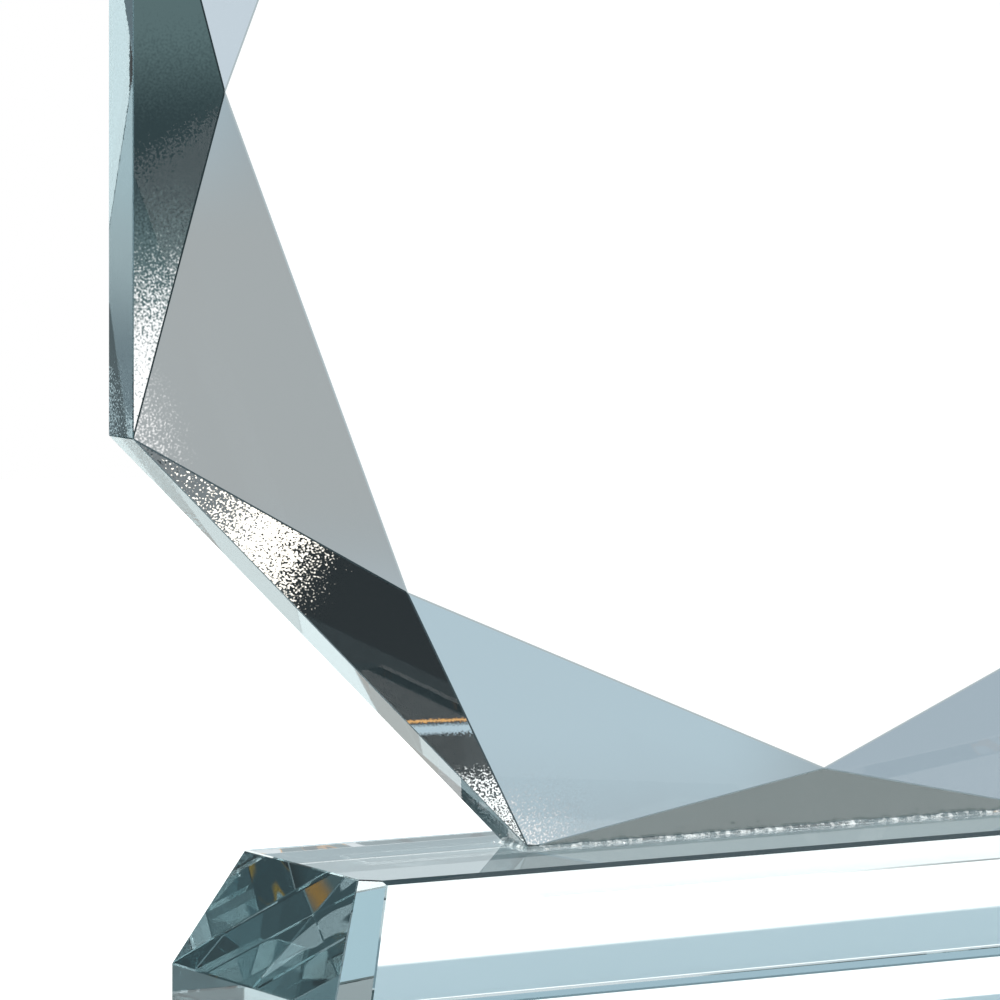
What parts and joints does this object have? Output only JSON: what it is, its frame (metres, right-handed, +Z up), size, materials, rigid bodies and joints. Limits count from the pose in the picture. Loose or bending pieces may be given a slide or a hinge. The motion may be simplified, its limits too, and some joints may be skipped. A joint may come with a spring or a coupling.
{
  "type": "crystal award",
  "caption": "Free-standing clear crystal award: octagonal plaque with gem-cut front facets, bonded upright on a bevelled crystal base block.",
  "frame": {"origin": "centre of the base block's underside", "axes": "+X to the right of someone who faces the table; +Y to the back; +Z up; the table faces -Y"},
  "size_m": [0.18, 0.0426, 0.2058],
  "materials": {
    "plaque_crystal": "polished clear optical crystal with a faint blue-grey tint",
    "base_crystal": "polished clear optical crystal with a faint blue-green tint",
    "clear_adhesive": "cured clear adhesive with small whitish bubbles"
  },
  "bodies": {
    "root": {"octagon_plaque": "plaque_crystal", "base_block": "base_crystal", "adhesive_bond": "clear_adhesive"}
  },
  "joints": []
}
